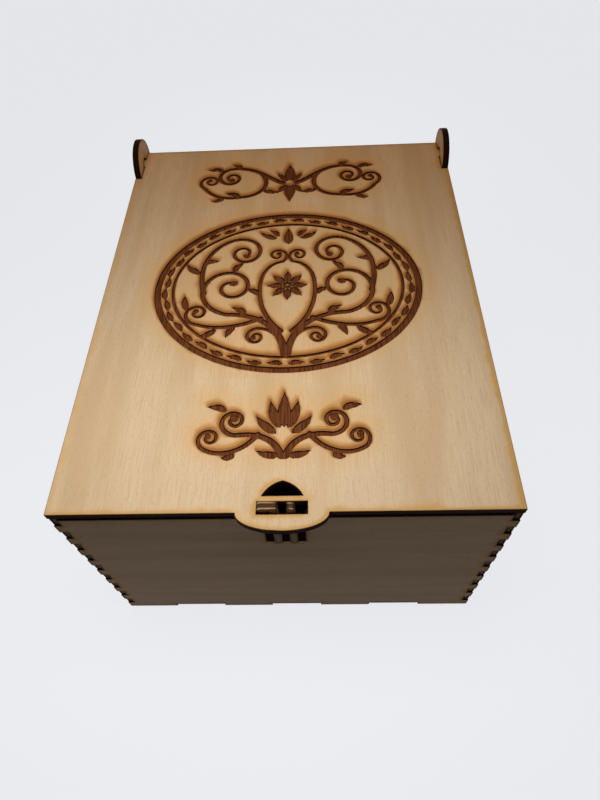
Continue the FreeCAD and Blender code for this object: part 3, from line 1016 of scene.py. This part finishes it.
def pale_floor(stage):
    """Matt studio paper: pale to the eye, with a soft shadow, and grey to the light that bounces off it."""
    material = bpy.data.materials.new("matt_studio_paper")
    material.use_nodes = True
    tree = material.node_tree
    tree.nodes.clear()
    glow = add_node(tree, "ShaderNodeEmission", {
        "Color": opaque(stage.backdrop), "Strength": stage.floor_glow,
    })
    lit = add_node(tree, "ShaderNodeBsdfDiffuse", {"Color": opaque(stage.backdrop)})
    shown = add_node(tree, "ShaderNodeMixShader", {
        0: stage.floor_lit, 1: glow.outputs["Emission"], 2: lit.outputs["BSDF"],
    })
    bounce = add_node(tree, "ShaderNodeBsdfDiffuse", {"Color": opaque(stage.floor_bounce)})
    mixed = add_node(tree, "ShaderNodeMixShader", {
        0: seen_directly(tree), 1: bounce.outputs["BSDF"], 2: shown.outputs["Shader"],
    })
    add_node(tree, "ShaderNodeOutputMaterial", {"Surface": mixed.outputs["Shader"]})
    return material


def add_floor(stage):
    """A flat square grid under the box."""
    half = 0.5 * stage.floor_size
    ticks = np.linspace(-half, half, FLOOR_LINES)
    u, v = np.meshgrid(ticks, ticks)
    place = np.column_stack([u.ravel(), v.ravel(), np.zeros(u.size)])
    numbers = np.arange(u.size).reshape(u.shape)
    faces = np.stack([numbers[:-1, :-1], numbers[:-1, 1:], numbers[1:, 1:], numbers[1:, :-1]], axis=-1)
    mesh = bpy.data.meshes.new("floor")
    mesh.from_pydata(place.tolist(), [], faces.reshape(-1, 4).tolist())
    floor = bpy.data.objects.new("floor", mesh)
    bpy.context.scene.collection.objects.link(floor)
    mesh.materials.append(pale_floor(stage))


def add_surroundings(stage):
    """A world that is pale to the eye and gives the box a little light from all sides."""
    world = bpy.data.worlds.new("surroundings")
    bpy.context.scene.world = world
    world.use_nodes = True
    tree = world.node_tree
    tree.nodes.clear()
    pale = add_node(tree, "ShaderNodeBackground", {"Color": opaque(stage.backdrop), "Strength": 1.0})
    ambient = add_node(tree, "ShaderNodeBackground", {"Color": opaque(WHITE), "Strength": stage.ambient})
    mixed = add_node(tree, "ShaderNodeMixShader", {
        0: seen_directly(tree), 1: ambient.outputs["Background"], 2: pale.outputs["Background"],
    })
    add_node(tree, "ShaderNodeOutputWorld", {"Surface": mixed.outputs["Shader"]})


def add_lamp(name, place, target, width, depth, power, spread, tint=WHITE):
    """A soft lamp at a place, aimed at a target and hidden from the camera."""
    lamp = bpy.data.lights.new(name, "AREA")
    lamp.shape = "RECTANGLE"
    lamp.size = width
    lamp.size_y = depth
    lamp.energy = power
    lamp.spread = spread
    lamp.color = tint
    holder = bpy.data.objects.new(name, lamp)
    bpy.context.scene.collection.objects.link(holder)
    aim = Vector(target) - Vector(place)
    holder.matrix_world = Matrix.Translation(place) @ aim.to_track_quat("-Z", "Y").to_matrix().to_4x4()
    holder.visible_camera = False


def floor_under(place):
    """The point on the floor under a place."""
    return (place[0], place[1], 0.0)


def add_camera(stage):
    """A camera that looks down on the lid from in front, with the photograph's place, turn and roll."""
    down, turn, roll = stage.camera_down, stage.camera_turn, stage.camera_roll
    ahead = Vector((-math.sin(turn) * math.cos(down), math.cos(turn) * math.cos(down), -math.sin(down)))
    level = Vector((math.cos(turn), math.sin(turn), 0.0))
    upright = level.cross(ahead)
    right = math.cos(roll) * level + math.sin(roll) * upright
    up = -math.sin(roll) * level + math.cos(roll) * upright
    lens = bpy.data.cameras.new("camera")
    lens.lens = stage.camera_lens
    lens.sensor_width = SENSOR_WIDTH
    lens.clip_start = NEAREST_SEEN
    camera = bpy.data.objects.new("camera", lens)
    bpy.context.scene.collection.objects.link(camera)
    turned = Matrix((right, up, -ahead)).transposed().to_4x4()
    camera.matrix_world = Matrix.Translation(stage.camera_place) @ turned
    bpy.context.scene.camera = camera


class KEEPSAKE_OT_walls(bpy.types.Operator):
    """Build the four finger-jointed walls and the bottom"""

    bl_idname = "keepsake.walls"
    bl_label = "Walls and Bottom"

    def execute(self, context):
        for number, sheet in enumerate(WALL_SHEETS):
            add_sheet(sheet, number, (wall_face(), charred_edge(), wiped_end()))
        return {"FINISHED"}


class KEEPSAKE_OT_lid(bpy.types.Operator):
    """Build the hinged lid with its engraved ornament"""

    bl_idname = "keepsake.lid"
    bl_label = "Engraved Lid"

    def execute(self, context):
        tab_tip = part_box(LID_SHEET[0])[0][Y]
        front_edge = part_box("front_panel")[0][Y]
        if tab_tip >= front_edge:
            raise RuntimeError("the lid's thumb tab doesn't reach past the front wall")
        strokes = lid_strokes(context.scene.keepsake_box.engraving, front_edge)
        add_sheet(LID_SHEET, len(WALL_SHEETS), (lid_face(), charred_edge(), charred_edge()), strokes)
        return {"FINISHED"}


class KEEPSAKE_OT_latch(bpy.types.Operator):
    """Build the two springy tongues of the latch"""

    bl_idname = "keepsake.latch"
    bl_label = "Latch"

    def execute(self, context):
        for sheet in LATCH_SHEETS:
            add_sheet(sheet, 0, (latch_face(), rubbed_edge()))
        return {"FINISHED"}


class KEEPSAKE_OT_stage(bpy.types.Operator):
    """Set up the floor, lamps, surroundings and camera"""

    bl_idname = "keepsake.stage"
    bl_label = "Stage"

    def execute(self, context):
        stage = context.scene.keepsake_box.stage
        context.scene.view_settings.view_transform = "Standard"
        add_floor(stage)
        add_surroundings(stage)
        add_lamp("key_lamp", stage.key_place, floor_under(stage.key_place), stage.key_width,
                 stage.key_depth, stage.key_power, stage.key_spread)
        add_lamp("rear_lamp", stage.rear_place, floor_under(stage.rear_place), stage.key_width,
                 stage.key_depth, stage.rear_power, stage.key_spread, stage.rear_tint)
        for side, (x, y) in (("left", (-1, 0)), ("right", (1, 0)), ("back", (0, 1))):
            place = (x * stage.fill_distance, y * stage.fill_distance, stage.fill_height)
            add_lamp(f"fill_lamp_{side}", place, (0.0, 0.0, stage.fill_aim), stage.fill_width,
                     stage.fill_depth, stage.fill_power, stage.fill_spread)
        add_lamp("open_lid_lamp", stage.open_place, floor_under(stage.open_place), stage.key_width,
                 stage.open_depth, stage.open_power, stage.open_spread)
        add_camera(stage)
        return {"FINISHED"}


OPERATORS = (KEEPSAKE_OT_walls, KEEPSAKE_OT_lid, KEEPSAKE_OT_latch, KEEPSAKE_OT_stage)


class KEEPSAKE_PT_box(bpy.types.Panel):
    """The steps that dress the box"""

    bl_idname = "KEEPSAKE_PT_box"
    bl_label = "Keepsake Box"
    bl_space_type = "VIEW_3D"
    bl_region_type = "UI"
    bl_category = "Keepsake Box"

    def draw(self, context):
        for operator in OPERATORS:
            self.layout.operator(operator.bl_idname)


CLASSES = (SheetSettings, EngravingSettings, FinishSettings, StageSettings, BoxSettings) + OPERATORS + (
    KEEPSAKE_PT_box,)


def register():
    """Registers the classes and the settings of the scene."""
    for item in CLASSES:
        bpy.utils.register_class(item)
    bpy.types.Scene.keepsake_box = PointerProperty(type=BoxSettings)


def unregister():
    """Takes the settings and the classes out again."""
    del bpy.types.Scene.keepsake_box
    for item in reversed(CLASSES):
        bpy.utils.unregister_class(item)


def main():
    """Builds the box and its stage."""
    register()
    bpy.ops.keepsake.walls()
    bpy.ops.keepsake.lid()
    bpy.ops.keepsake.latch()
    bpy.ops.keepsake.stage()


if __name__ == "__main__":
    main()
